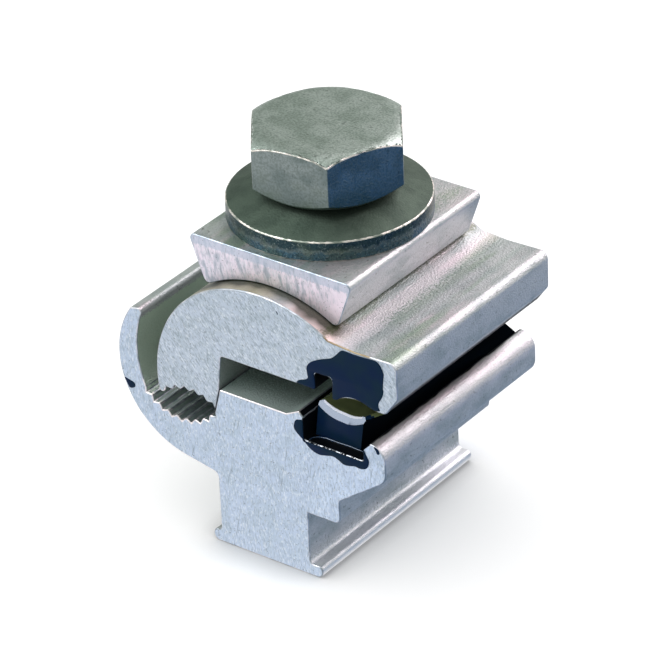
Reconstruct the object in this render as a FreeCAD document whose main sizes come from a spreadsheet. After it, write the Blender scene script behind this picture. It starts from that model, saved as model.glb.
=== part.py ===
import FreeCAD, Part
import math
import os
import re
import Sketcher

# Cable branch clamp with one bolt, in millimetres.
# The foot's underside is at Z 0 and the bolt's axis is the Z axis. The grooves run along Y, the main
# groove is on the +X side and the serrated branch groove on the -X side.

# Driving sizes: alias, value, what it is. Angles are in degrees.
SIZES = [
    ("jaw_length", 23.0, "length of both jaws along the conductors"),
    ("stem_width", 9.8, "stem below the grooves"),
    ("left_flange", 0.85, "how far the foot's left flange stands out of the stem"),
    ("right_flange", 1.35, "how far its right flange stands out"),
    ("foot_edge", 1.15, "thickness of the flanges"),
    ("foot_fillet", 0.45, "inner corner between stem and flange"),
    ("foot_round", 0.6, "rounding of the foot's lower corners"),
    ("flange_round", 0.42, "rounding of the flanges' upper corners"),
    ("step_base", 6.45, "height of the step's underside"),
    ("step_reach", 8.4, "step's right face from the bolt axis"),
    ("step_height", 2.4, "height of the step's right face"),
    ("lip_reach", 13.5, "outside of the lip from the bolt axis"),
    ("lip_chin", 3.65, "rise of the lip's slanted underside"),
    ("lip_top", 15.9, "height of the lip"),
    ("lip_land", 0.7, "sloped inner edge of the lip"),
    ("lip_round", 1.5, "rounding of the lip's nose"),
    ("main_left", 4.87, "left wall of the main groove from the bolt axis"),
    ("main_width", 6.33, "width of the main groove"),
    ("main_floor", 13.95, "height of the main groove's floor"),
    ("slot_floor", 16.0, "height of the flat between the grooves"),
    ("ridge_height", 0.7, "ridge beside the main groove"),
    ("ridge_width", 0.5, "chamfered top of the ridge"),
    ("ridge_slope", 1.35, "width of the ridge's inner slope"),
    ("shoulder", 4.2, "upper end of the guide shoulder from the bolt axis"),
    ("cradle_offset", 8.7, "axis of the branch cradle from the bolt axis"),
    ("cradle_height", 16.5, "height of the cradle's axis"),
    ("cradle_round", 4.8, "radius at the tips of the lower teeth"),
    ("cradle_start", 36.0, "angle from level to the first lower notch's edge"),
    ("tooth_pitch", 12.0, "angle from one notch to the next"),
    ("tooth_depth", 0.38, "depth of a notch in the lower jaw"),
    ("tooth_land", 1.4, "flat on a tooth's tip, as an angle"),
    ("lower_teeth", 9, "notches in the lower jaw"),
    ("hook_offset", 6.8, "centre of the hook's outside from the bolt axis"),
    ("hook_height", 16.3, "height of that centre"),
    ("hook_round", 8.6, "radius of the hook's outside"),
    ("hook_tip", 21.35, "height of the hook's tip"),
    ("tip_round", 0.38, "rounding of the tip"),
    ("hook_slant", 0.3, "rise of the tip towards its inner edge"),
    ("hook_mouth", 12.3, "inner edge of the tip from the bolt axis"),
    ("hook_hollow", 10.0, "radius of the hook's inner wall"),
    ("belly_angle", 11.3, "slope of the underside between hook and stem"),
    ("bolt_bore", 8.0, "tapped hole, at the crests of the thread"),
    ("edge_round", 0.3, "small rounding of the extruded edges"),
    ("corner_round", 0.6, "rounding of the larger outer corners"),
    ("crown", 27.05, "height of the upper jaw's crown"),
    ("seat_round", 13.2, "radius of the cylindrical seat under the plate"),
    ("seat_shift", 0.6, "seat and plate from the bolt axis"),
    ("seat_gap", 0.03, "clearance in the cylindrical seat"),
    ("seat_left", 15.0, "angle from the crown to the seat's left end"),
    ("seat_right", 7.3, "distance from the crown to the seat's right end"),
    ("valley", 10.7, "start of the right lobe's top from the bolt axis"),
    ("valley_height", 24.62, "height of the valley"),
    ("brow_reach", 15.0, "outside of the right lobe from the bolt axis"),
    ("brow_height", 24.75, "height of the right lobe's outer edge"),
    ("brow_round", 0.8, "rounding of that edge"),
    ("brow_chin", 21.2, "height where the right lobe starts to slant in"),
    ("brow_foot", 13.7, "inner end of the slanted side from the bolt axis"),
    ("arch_top_gap", 19.4, "height of the right lobe's underside"),
    ("arch_right", 12.6, "right end of the groove's arch from the bolt axis"),
    ("arch_left", 8.5, "left end of the arch from the bolt axis"),
    ("arch_round", 4.0, "radius of the arch"),
    ("bead_foot", 19.15, "height of the bead left of the arch"),
    ("relief_right", 8.1, "right wall of the relief notch from the bolt axis"),
    ("relief_left", 6.4, "left wall of the relief notch from the bolt axis"),
    ("relief_top", 21.2, "height of the relief notch"),
    ("ceiling", 19.5, "height of the slot's ceiling"),
    ("leg_face", 3.9, "leg's inner face from the bolt axis, at the ceiling"),
    ("leg_gap", 0.1, "clearance between leg and guide shoulder"),
    ("grip_offset", 7.67, "axis of the upper teeth from the bolt axis"),
    ("grip_height", 9.94, "height of that axis"),
    ("grip_round", 4.8, "radius at the tips of the upper teeth"),
    ("grip_start", 54.0, "angle from level to the first upper notch's edge"),
    ("grip_depth", 0.32, "depth of a notch in the upper jaw"),
    ("upper_teeth", 6, "notches in the upper jaw"),
    ("heel_land", 7.0, "angle from the last notch to the lobe's heel"),
    ("passage", 9.0, "width of the jaw's oblong bolt hole"),
    ("passage_play", 0.85, "extra length of that hole, towards the branch side"),
    ("plate_width", 17.5, "pressure plate, across the bolt"),
    ("plate_length", 19.5, "pressure plate, along the conductors"),
    ("plate_foot", 14.1, "plate's width at its underside"),
    ("plate_crown", 2.75, "plate's thickness above the crown"),
    ("plate_bore", 9.6, "bolt hole in the plate"),
    ("plate_round", 0.5, "rounding of the plate's upper long edges"),
    ("plate_toe", 0.6, "rounding of its lower long edges"),
    ("washer_width", 18.2, "outer diameter of the conical washer"),
    ("washer_bore", 8.6, "washer's hole"),
    ("washer_rim", 1.85, "thickness of the washer"),
    ("washer_rise", 1.6, "height of the cone"),
    ("washer_round", 0.2, "rounding of the washer's rim"),
    ("bearing_gap", 0.02, "clearance between the washer and the head"),
    ("head_width", 13.0, "hexagon across the flats"),
    ("head_turn", 6.2, "turn of the hexagon from a corner on +X"),
    ("head_height", 5.3, "height of the hexagon"),
    ("head_crown", 11.4, "flat circle on top of the head"),
    ("head_dome", 2.6, "radius of the soft shoulder around that circle"),
    ("dome_sweep", 52.0, "angle of that shoulder"),
    ("head_skirt", 12.6, "bearing circle under the head"),
    ("head_tuck", 35.0, "angle of the rounding under the head's corners"),
    ("bolt_shank", 7.9, "thread's outer diameter"),
    ("bolt_reach", 30.0, "length below the head"),
    ("bolt_point", 0.8, "chamfer at the bolt's end"),
    ("grease_setback", 1.3, "grease bead short of the jaw's front end"),
    ("grease_reach", 0.2, "grease bead short of the jaw's rear end"),
    ("grease_top", 17.3, "height of the bead's edges"),
    ("grease_hollow", 4.2, "radius of the bead's hollow top"),
    ("grease_inset", 0.35, "bead's upper sides inside the groove's walls"),
]

# Sizes that follow from the ones above, as formulas of the sheet.
DERIVED = [
    ("foot_left", "stem_width / 2 + left_flange", "foot's left edge from the bolt axis"),
    ("foot_right", "stem_width / 2 + right_flange", "foot's right edge from the bolt axis"),
    ("seat_height", "crown - seat_round", "height of the seat's axis"),
    ("main_right", "main_left + main_width", "right wall of the main groove"),
    ("plate_top", "crown + plate_crown", "height of the plate's top face"),
    ("head_seat", "plate_top + washer_rim + washer_rise + bearing_gap", "height of the head's bearing face"),
    ("cradle_sweep", "lower_teeth * tooth_pitch", "angle of the toothed cradle"),
    ("grip_sweep", "upper_teeth * tooth_pitch", "angle of the toothed grip"),
    ("toe_x", "cradle_offset - cradle_round * cos(cradle_start)", "lower end of the guide shoulder"),
    ("toe_z", "cradle_height - cradle_round * sin(cradle_start)", "height of that end"),
    ("heel_x", "grip_offset - grip_round * cos(grip_start + grip_sweep + heel_land)", "lobe's lower end"),
    ("heel_z", "grip_height + grip_round * sin(grip_start + grip_sweep + heel_land)", "height of that end"),
    ("heel_reach", "sqrt((heel_x + seat_shift) ^ 2 + (heel_z - seat_height) ^ 2)", "heel to the seat's axis"),
    ("heel_rise", "(heel_x + seat_shift) * sin(seat_left) + (heel_z - seat_height) * cos(seat_left)",
     "the same, along the line to the seat's left end"),
    ("lobe_round",
     "(heel_reach ^ 2 + seat_round ^ 2 - 2 * seat_round * heel_rise) / (2 * (seat_round - heel_rise))",
     "radius of the left lobe, which meets the seat smoothly"),
    ("head_corner", "head_width / cos(30)", "hexagon across the corners"),
]

doc = FreeCAD.newDocument("branch_clamp")
sheet = doc.addObject("Spreadsheet::Sheet", "Sizes")
for row, (alias, value, meaning) in enumerate(SIZES + DERIVED, start=1):
    cell = "B%d" % row
    sheet.set("A%d" % row, meaning)
    sheet.setAlias(cell, alias)
    sheet.set(cell, "=" + value if isinstance(value, str) else str(value))
doc.recompute()
ALIASES = {alias for alias, value, meaning in SIZES + DERIVED}


def bound(formula):
    """The formula with each size's alias pointing at the sheet."""
    return re.sub(r"[a-z_]+", lambda word: "Sizes." + word[0] if word[0] in ALIASES else word[0], formula)


def value_of(formula):
    return float(sheet.evalExpression(bound(formula)))


def bind(item, prop, formula):
    item.setExpression(prop, bound(formula))


def plane_of(body, role):
    return [feature for feature in body.Origin.OriginFeatures if feature.Role == role][0]


def new_body(label):
    body = doc.addObject("PartDesign::Body", label)
    body.Label = label
    return body


def new_sketch(body, name, role, shift=("0", "0", "0")):
    """A sketch on one of the body's origin planes, its origin shifted within and off that plane."""
    sketch = body.newObject("Sketcher::SketchObject", name)
    sketch.AttachmentSupport = [(plane_of(body, role), "")]
    sketch.MapMode = "FlatFace"
    for axis, formula in zip("xyz", shift):
        if formula != "0":
            bind(sketch, "AttachmentOffset.Base." + axis, formula)
    return sketch


def place_point(sketch, index, end, name, across, up):
    """Hold one end of an edge at a place that follows the sheet."""
    for kind, formula, letter in (("DistanceX", across, "x"), ("DistanceY", up, "y")):
        number = sketch.addConstraint(Sketcher.Constraint(kind, -1, 1, index, end, value_of(formula)))
        sketch.renameConstraint(number, name + letter)
        bind(sketch, "Constraints." + name + letter, formula)


def bow(start, end, radius, side):
    """The arc from start to end with that radius, bulging to the left of the way for side 1."""
    chord = end - start
    across = FreeCAD.Vector(-chord.y, chord.x, 0).normalize() * side
    height = radius - math.sqrt(radius ** 2 - (chord.Length / 2) ** 2)
    return Part.Arc(start, (start + end) * 0.5 + across * height, end)


def draw_outline(sketch, corners):
    """A closed outline. A corner is (across, up), or (across, up, radius, side) where an arc leaves it."""
    points = [FreeCAD.Vector(value_of(corner[0]), value_of(corner[1]), 0) for corner in corners]
    count = len(corners)
    arcs = []
    ends = []
    for index, corner in enumerate(corners):
        start, end = points[index], points[(index + 1) % count]
        if len(corner) == 2:
            sketch.addGeometry(Part.LineSegment(start, end), False)
            ends.append((1, 2))
            continue
        curve = bow(start, end, value_of(corner[2]), corner[3])
        edge = sketch.addGeometry(curve, False)
        gaps = [sketch.getPoint(edge, end).distanceToPoint(start) for end in (1, 2)]
        ends.append((1, 2) if gaps[0] < gaps[1] else (2, 1))
        arcs.append((edge, corner[2]))
    for index in range(count):
        after = (index + 1) % count
        sketch.addConstraint(Sketcher.Constraint("Coincident", index, ends[index][1], after, ends[after][0]))
    for index, corner in enumerate(corners):
        place_point(sketch, index, ends[index][0], "p%d" % index, corner[0], corner[1])
    for edge, formula in arcs:
        number = sketch.addConstraint(Sketcher.Constraint("Radius", edge, value_of(formula)))
        sketch.renameConstraint(number, "bend%d" % edge)
        bind(sketch, "Constraints.bend%d" % edge, formula)


def draw_circle(sketch, diameter):
    centre = FreeCAD.Vector(0, 0, 0)
    upright = FreeCAD.Vector(0, 0, 1)
    sketch.addGeometry(Part.Circle(centre, upright, value_of(diameter) / 2), False)
    sketch.addConstraint(Sketcher.Constraint("Coincident", 0, 3, -1, 1))
    number = sketch.addConstraint(Sketcher.Constraint("Diameter", 0, value_of(diameter)))
    sketch.renameConstraint(number, "across")
    bind(sketch, "Constraints.across", diameter)


def pad(body, sketch, name, length):
    """Extrude a sketch to both sides of its plane."""
    feature = body.newObject("PartDesign::Pad", name)
    feature.Profile = sketch
    feature.SideType = "Symmetric"
    bind(feature, "Length", length)
    return feature


def pad_one_way(body, sketch, name, length, reverse):
    feature = body.newObject("PartDesign::Pad", name)
    feature.Profile = sketch
    feature.Reversed = reverse
    bind(feature, "Length", length)
    return feature


def cut_through(body, sketch, name):
    feature = body.newObject("PartDesign::Pocket", name)
    feature.Profile = sketch
    feature.SideType = "Symmetric"
    feature.Type = "ThroughAll"
    return feature


def turn(body, kind, sketch, name):
    """A revolved solid or a revolved cut, about the sketch's upright axis."""
    feature = body.newObject("PartDesign::" + kind, name)
    feature.Profile = sketch
    feature.ReferenceAxis = (sketch, ["V_Axis"])
    feature.Angle = 360
    return feature


def edges_along_y(shape, corners):
    """Names of the straight edges along Y that pass through the given places in XZ."""
    places = [(value_of(across), value_of(up)) for across, up in corners]
    names = []
    for number, edge in enumerate(shape.Edges, start=1):
        near = [
            all(math.hypot(v.Point.x - across, v.Point.z - up) < 1e-3 for v in edge.Vertexes)
            for across, up in places
        ]
        if any(near) and len(edge.Vertexes) == 2:
            names.append("Edge%d" % number)
    return names


def round_edges(body, name, radius, corners):
    doc.recompute()
    base = body.Tip
    feature = body.newObject("PartDesign::Fillet", name)
    feature.Base = (base, edges_along_y(base.Shape, corners))
    bind(feature, "Radius", radius)


def circles_at(shape, height, diameter):
    """Names of the round edges about Z at that height."""
    names = []
    for number, edge in enumerate(shape.Edges, start=1):
        curve = edge.Curve
        if isinstance(curve, Part.Circle) and abs(curve.Radius * 2 - diameter) < 1e-3:
            if abs(curve.Center.z - height) < 1e-3:
                names.append("Edge%d" % number)
    return names


def cut_teeth(body, name, centre, reach, depth, first, count, side):
    """V notches about an axis along Y. side is 1 for notches above the axis and -1 for those below."""
    sketch = new_sketch(body, name + "_notch", "XZ_Plane", centre)
    middle = "(%s + tooth_pitch / 2)" % first
    half = "(tooth_pitch - tooth_land) / 2"
    flip = "" if side > 0 else "-"

    def spot(radius, angle):
        return ("(%s) * cos(%s)" % (radius, angle), "%s(%s) * sin(%s)" % (flip, radius, angle))

    inside = reach + " - %s" % depth
    wide = half + " * 2 * %s / (%s - %s)" % (reach, reach, depth)
    corners = [
        spot("%s + %s" % (reach, depth), middle),
        spot(inside, "%s + %s" % (middle, wide)),
        spot(inside, "%s - %s" % (middle, wide)),
    ]
    draw_outline(sketch, corners)
    notch = cut_through(body, sketch, name + "_cut")
    doc.recompute()
    pattern = body.newObject("PartDesign::PolarPattern", name)
    pattern.Originals = [notch]
    pattern.Axis = (sketch, ["N_Axis"])
    pattern.Mode = "Spacing"
    pattern.Reversed = side < 0
    bind(pattern, "Offset", "tooth_pitch")
    bind(pattern, "Occurrences", count)
    body.Tip = pattern
    doc.recompute()


# The lower jaw: one extruded bar with foot, stem, hook, toothed cradle, main groove and lip.
def make_lower_jaw():
    body = new_body("lower_jaw")
    sketch = new_sketch(body, "lower_section", "XZ_Plane")
    belly = ("-(hook_offset + hook_round * sin(belly_angle))", "hook_height - hook_round * cos(belly_angle)")
    waist = (
        "-stem_width / 2",
        "hook_height - hook_round * cos(belly_angle)"
        " - (hook_offset + hook_round * sin(belly_angle) - stem_width / 2) * tan(belly_angle)",
    )
    hook_edge = "-(hook_offset + sqrt(hook_round ^ 2 - (hook_tip - hook_height) ^ 2))"
    cradle_end = (
        "-cradle_offset + cradle_round * cos(cradle_start + cradle_sweep)",
        "cradle_height - cradle_round * sin(cradle_start + cradle_sweep)",
    )
    draw_outline(sketch, [
        ("-foot_left", "0"),
        ("foot_right", "0"),
        ("foot_right", "foot_edge"),
        ("stem_width / 2", "foot_edge"),
        ("stem_width / 2", "step_base"),
        ("step_reach", "step_base"),
        ("step_reach", "step_base + step_height"),
        ("lip_reach", "step_base + step_height + lip_chin"),
        ("lip_reach", "lip_top"),
        ("main_right + lip_land", "lip_top"),
        ("main_right", "lip_top - lip_land"),
        ("main_right", "main_floor"),
        ("main_left", "main_floor"),
        ("main_left", "slot_floor + ridge_height - ridge_width"),
        ("main_left - ridge_width", "slot_floor + ridge_height"),
        ("main_left - ridge_width - ridge_slope", "slot_floor"),
        ("-shoulder", "slot_floor"),
        ("-toe_x", "toe_z", "cradle_round", 1),
        cradle_end + ("hook_hollow", 1),
        ("-hook_mouth", "hook_tip + hook_slant"),
        (hook_edge, "hook_tip", "hook_round", -1),
        belly,
        waist,
        ("-stem_width / 2", "foot_edge"),
        ("-foot_left", "foot_edge"),
    ])
    pad(body, sketch, "lower_bar", "jaw_length")
    doc.recompute()
    bore = new_sketch(body, "bore_circle", "XY_Plane")
    draw_circle(bore, "bolt_bore")
    cut_through(body, bore, "bore")
    doc.recompute()
    cut_teeth(body, "lower_serration", ("-cradle_offset", "cradle_height", "0"),
              "cradle_round", "tooth_depth", "cradle_start", "lower_teeth", -1)
    round_edges(body, "lip_nose", "lip_round", [
        ("lip_reach", "step_base + step_height + lip_chin"),
        ("lip_reach", "lip_top"),
    ])
    round_edges(body, "lower_corners", "corner_round", [
        ("step_reach", "step_base"),
        waist,
    ])
    round_edges(body, "foot_corners", "foot_fillet", [
        ("-stem_width / 2", "foot_edge"),
        ("stem_width / 2", "foot_edge"),
    ])
    round_edges(body, "foot_underside", "foot_round", [
        ("-foot_left", "0"),
        ("foot_right", "0"),
    ])
    round_edges(body, "foot_flanges", "flange_round", [
        ("-foot_left", "foot_edge"),
        ("foot_right", "foot_edge"),
    ])
    round_edges(body, "hook_end", "tip_round", [
        ("-hook_mouth", "hook_tip + hook_slant"),
        (hook_edge, "hook_tip"),
    ])
    round_edges(body, "lower_small_corners", "edge_round", [
        ("step_reach", "step_base + step_height"),
        ("main_right + lip_land", "lip_top"),
        ("main_right", "main_floor"),
        ("main_left", "main_floor"),
    ])
    return body


# The upper jaw: an extruded bar with the toothed left lobe, the leg and the right lobe over the main groove.
def make_upper_jaw():
    body = new_body("upper_jaw")
    sketch = new_sketch(body, "upper_section", "XZ_Plane")
    heel = ("-heel_x", "heel_z")
    draw_outline(sketch, [
        heel + ("lobe_round", 1),
        ("seat_shift - seat_round * sin(seat_left)", "seat_height + seat_round * cos(seat_left)",
         "seat_round", 1),
        ("seat_shift + seat_right", "seat_height + sqrt(seat_round ^ 2 - seat_right ^ 2)"),
        ("valley", "valley_height"),
        ("brow_reach", "brow_height"),
        ("brow_reach", "brow_chin"),
        ("brow_foot", "arch_top_gap"),
        ("arch_right", "arch_top_gap", "arch_round", -1),
        ("arch_left", "bead_foot"),
        ("relief_right", "bead_foot"),
        ("relief_right", "relief_top"),
        ("relief_left", "relief_top"),
        ("relief_left", "ceiling"),
        ("-leg_face", "ceiling"),
        ("-shoulder - leg_gap", "slot_floor"),
        ("-grip_offset + grip_round * cos(grip_start)", "grip_height + grip_round * sin(grip_start)",
         "grip_round", -1),
    ])
    pad(body, sketch, "upper_bar", "jaw_length")
    doc.recompute()
    hole = new_sketch(body, "passage_outline", "XY_Plane")
    left = "-passage_play"
    draw_outline(hole, [
        ("0", "-passage / 2", "passage / 2", -1),
        ("passage / 2", "0", "passage / 2", -1),
        ("0", "passage / 2"),
        (left, "passage / 2", "passage / 2", -1),
        (left + " - passage / 2", "0", "passage / 2", -1),
        (left, "-passage / 2"),
    ])
    cut_through(body, hole, "passage_cut")
    doc.recompute()
    cut_teeth(body, "upper_serration", ("-grip_offset", "grip_height", "0"),
              "grip_round", "grip_depth", "grip_start", "upper_teeth", 1)
    round_edges(body, "brow_corner", "brow_round", [("brow_reach", "brow_height")])
    round_edges(body, "upper_corners", "corner_round", [
        ("brow_reach", "brow_chin"),
        ("brow_foot", "arch_top_gap"),
    ])
    round_edges(body, "upper_small_corners", "edge_round", [
        heel,
        ("-leg_face", "ceiling"),
        ("relief_left", "relief_top"),
        ("relief_right", "relief_top"),
        ("relief_left", "ceiling"),
    ])
    return body


# The pressure plate: a short extruded saddle that seats on the upper jaw's crown.
def make_pressure_plate():
    body = new_body("pressure_plate")
    sketch = new_sketch(body, "plate_section", "XZ_Plane")
    toe = "sqrt((seat_round + seat_gap) ^ 2 - (plate_foot / 2) ^ 2)"
    foot_left = ("-plate_foot / 2", toe)
    foot_right = ("plate_foot / 2", toe)
    top_left = ("-plate_width / 2", "seat_round + plate_crown")
    top_right = ("plate_width / 2", "seat_round + plate_crown")
    draw_outline(sketch, [foot_left + ("seat_round + seat_gap", 1), foot_right, top_right, top_left])
    pad(body, sketch, "plate_bar", "plate_length")
    doc.recompute()
    hole = new_sketch(body, "plate_hole", "XY_Plane")
    draw_circle(hole, "plate_bore")
    cut_through(body, hole, "plate_cut")
    round_edges(body, "plate_upper_edges", "plate_round", [top_left, top_right])
    round_edges(body, "plate_lower_edges", "plate_toe", [foot_left, foot_right])
    bind(body, "Placement.Base.x", "seat_shift")
    bind(body, "Placement.Base.z", "seat_height")
    return body


# The conical spring washer stands on its outer edge, and its hole's upper edge carries the head.
def make_spring_washer():
    body = new_body("spring_washer")
    sketch = new_sketch(body, "washer_section", "XZ_Plane")
    draw_outline(sketch, [
        ("washer_bore / 2", "washer_rise"),
        ("washer_width / 2", "0"),
        ("washer_width / 2", "washer_rim"),
        ("washer_bore / 2", "washer_rise + washer_rim"),
    ])
    turn(body, "Revolution", sketch, "washer_cone")
    doc.recompute()
    rim = body.newObject("PartDesign::Fillet", "washer_edges")
    cone = body.Group[-2]
    rim.Base = (cone, circles_at(cone.Shape, value_of("washer_rim"), value_of("washer_width")))
    bind(rim, "Radius", "washer_round")
    bind(body, "Placement.Base.z", "plate_top")
    return body


# The bolt: forged hexagon with its soft shoulder, and a shank that leaves its thread to the dressed part.
def make_clamp_bolt():
    body = new_body("clamp_bolt")
    hexagon = new_sketch(body, "head_outline", "XY_Plane")
    draw_outline(hexagon, [
        ("head_corner / 2 * cos(head_turn + %d)" % angle, "head_corner / 2 * sin(head_turn + %d)" % angle)
        for angle in range(0, 360, 60)
    ])
    pad_one_way(body, hexagon, "head", "head_height", False)
    doc.recompute()
    crown = new_sketch(body, "crown_section", "XZ_Plane")
    brink = "head_crown / 2 + head_dome * sin(dome_sweep)"
    draw_outline(crown, [
        ("head_crown / 2", "head_height", "head_dome", 1),
        (brink, "head_height - head_dome * (1 - cos(dome_sweep))"),
        (brink, "head_height"),
    ])
    turn(body, "Groove", crown, "head_shoulder")
    doc.recompute()
    tuck = new_sketch(body, "tuck_section", "XZ_Plane")
    draw_outline(tuck, [
        ("head_skirt / 2", "0"),
        ("head_corner", "(head_corner - head_skirt / 2) * tan(head_tuck)"),
        ("head_corner", "0"),
    ])
    turn(body, "Groove", tuck, "head_underside")
    doc.recompute()
    shank = new_sketch(body, "shank_circle", "XY_Plane")
    draw_circle(shank, "bolt_shank")
    pad_one_way(body, shank, "shank", "bolt_reach", True)
    doc.recompute()
    point = body.newObject("PartDesign::Chamfer", "shank_point")
    whole = body.Group[-2]
    point.Base = (whole, circles_at(whole.Shape, -value_of("bolt_reach"), value_of("bolt_shank")))
    bind(point, "Size", "bolt_point")
    bind(body, "Placement.Base.z", "head_seat")
    return body


# The contact grease: a soft bead laid along the main groove, hollow along its top.
def make_contact_grease():
    body = new_body("contact_grease")
    sketch = new_sketch(body, "bead_section", "XZ_Plane", ("0", "0", "(grease_reach - grease_setback) / 2"))
    draw_outline(sketch, [
        ("main_left + edge_round", "main_floor"),
        ("main_right - edge_round", "main_floor"),
        ("main_right - grease_inset", "lip_top - lip_land"),
        ("main_right - grease_inset", "grease_top", "grease_hollow", 1),
        ("main_left + grease_inset", "grease_top"),
        ("main_left + grease_inset", "lip_top - lip_land"),
    ])
    pad(body, sketch, "bead", "jaw_length - grease_setback - grease_reach")
    return body


MAKERS = [
    make_lower_jaw,
    make_upper_jaw,
    make_pressure_plate,
    make_spring_washer,
    make_clamp_bolt,
    make_contact_grease,
]
bodies = [make() for make in MAKERS]
doc.recompute()

for item in doc.Objects:
    if "Invalid" in item.State or "Error" in item.State:
        raise RuntimeError("%s did not build: %s" % (item.Label, item.State))
for body in bodies:
    if body.Shape.isNull() or not body.Shape.isValid() or len(body.Shape.Solids) != 1:
        raise RuntimeError("%s is not one valid solid" % body.Label)

os.makedirs("parts", exist_ok=True)
for body in bodies:
    body.Shape.exportStep("parts/%s.step" % body.Label)
    box = body.Shape.BoundBox
    print("%-16s volume %8.1f  X %6.2f..%6.2f  Y %6.2f..%6.2f  Z %6.2f..%6.2f" % (
        body.Label, body.Shape.Volume, box.XMin, box.XMax, box.YMin, box.YMax, box.ZMin, box.ZMax))
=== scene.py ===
import math

import bmesh
import bpy
from mathutils import Matrix, Vector, geometry


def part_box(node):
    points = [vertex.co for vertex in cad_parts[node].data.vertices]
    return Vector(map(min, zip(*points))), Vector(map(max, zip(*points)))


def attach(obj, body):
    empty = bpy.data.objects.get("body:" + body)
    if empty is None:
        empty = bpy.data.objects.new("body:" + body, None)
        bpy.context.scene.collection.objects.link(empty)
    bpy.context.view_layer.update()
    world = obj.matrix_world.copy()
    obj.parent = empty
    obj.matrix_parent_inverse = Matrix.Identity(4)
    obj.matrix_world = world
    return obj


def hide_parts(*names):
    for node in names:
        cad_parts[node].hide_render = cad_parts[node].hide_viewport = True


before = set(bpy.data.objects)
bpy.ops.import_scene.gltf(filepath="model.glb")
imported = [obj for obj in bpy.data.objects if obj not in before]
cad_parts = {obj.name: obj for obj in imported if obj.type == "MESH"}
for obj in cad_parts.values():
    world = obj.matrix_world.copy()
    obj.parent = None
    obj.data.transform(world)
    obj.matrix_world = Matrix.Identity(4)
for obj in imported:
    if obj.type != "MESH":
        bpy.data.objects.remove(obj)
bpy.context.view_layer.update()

MM = 0.001

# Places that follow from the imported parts, in metres.
SAWN_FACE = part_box("lower_jaw")[0].y
PLATE_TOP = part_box("pressure_plate")[1].z
BOLT_END, BOLT_TOP = [corner.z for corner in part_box("clamp_bolt")]
BEAD_LOW, BEAD_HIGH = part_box("contact_grease")

# The bolt is M8 with its normal pitch. The core lies over the thread's roots. The ridge round it starts a
# little over the bolt's end and stops short of the head, where PLAIN_SHANK is the length without thread, both
# ends counted. Below LOWER_HEAD over the seat, the head's edges are as dull as its flats: painted shade under
# the head.
HEAD_HEIGHT = 5.3 * MM
HEAD_SEAT = BOLT_TOP - HEAD_HEIGHT
LOWER_HEAD = 1.2 * MM
SHANK_RADIUS = 3.95 * MM
CORE_RADIUS = 3.3 * MM
PITCH = 1.25 * MM
RIDGE_RADIUS = 0.51 * MM
THREAD_START = 0.6 * MM
PLAIN_SHANK = 3.0 * MM

# Ranges along Y and Z, in millimetres, that worn places share: at the sawn face, and with nothing above.
AT_FACE = (-12, -11)
TOP = 40

# The camera stands where the photograph was taken: far off, with a long lens.
CAMERA_TURN = math.radians(37.5)
CAMERA_RISE = math.radians(30.5)
CAMERA_ROLL = math.radians(-2.5)
CAMERA_DISTANCE = 375 * MM
CAMERA_LENS = 239.15
AIM_ACROSS = -0.46 * MM
AIM_UP = -9.99 * MM

# Corners of a mesh that are nearer than this, in metres, are merged.
MERGE = 1e-6


def linear(hex_colour):
    """An sRGB colour such as #A0B0C0 as linear red, green, blue and alpha."""
    parts = [int(hex_colour[i:i + 2], 16) / 255 for i in (1, 3, 5)]
    return [p / 12.92 if p <= 0.04045 else ((p + 0.055) / 1.055) ** 2.4 for p in parts] + [1.0]


def add_node(tree, kind, inputs=None, **settings):
    """A node with its settings, its plain values and its links."""
    node = tree.nodes.new(kind)
    for name, value in settings.items():
        setattr(node, name, value)
    for key, value in (inputs or {}).items():
        if isinstance(value, bpy.types.NodeSocket):
            tree.links.new(value, node.inputs[key])
        else:
            node.inputs[key].default_value = value
    return node


def new_material(name):
    """An empty material with its surface shader, and the piece's own coordinates in millimetres."""
    material = bpy.data.materials.new(name)
    material.use_nodes = True
    tree = material.node_tree
    tree.nodes.clear()
    shader = add_node(tree, "ShaderNodeBsdfPrincipled")
    add_node(tree, "ShaderNodeOutputMaterial", {"Surface": shader.outputs["BSDF"]})
    place = add_node(tree, "ShaderNodeTexCoord")
    scaled = add_node(tree, "ShaderNodeMapping", {
        "Vector": place.outputs["Object"], "Scale": (1000, 1000, 1000),
    })
    return material, tree, shader, scaled.outputs[0]


def marks(tree, place, per_mm, turn, low, high, detail):
    """Marks from 0 to 1: noise with so many cells per millimetre along each axis, turned about Y."""
    turned = add_node(tree, "ShaderNodeMapping", {"Vector": place, "Rotation": (0, turn, 0)})
    drawn = add_node(tree, "ShaderNodeMapping", {"Vector": turned.outputs[0], "Scale": per_mm})
    noise = add_node(tree, "ShaderNodeTexNoise", {"Vector": drawn.outputs[0], "Scale": 1.0, "Detail": detail})
    return add_node(tree, "ShaderNodeMapRange", {
        "Value": noise.outputs["Fac"], "From Min": low, "From Max": high,
    }, interpolation_type="SMOOTHSTEP").outputs["Result"]


def layered(tree, base, layers):
    """A base colour with others laid over it, each given as a colour, a mask and a share."""
    colour = linear(base)
    for tint, mask, share in layers:
        strength = add_node(tree, "ShaderNodeMath", {0: mask, 1: share}, operation="MULTIPLY").outputs[0]
        colour = add_node(tree, "ShaderNodeMix", {0: strength, 6: colour, 7: linear(tint)},
                          data_type="RGBA").outputs[2]
    return colour


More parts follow.
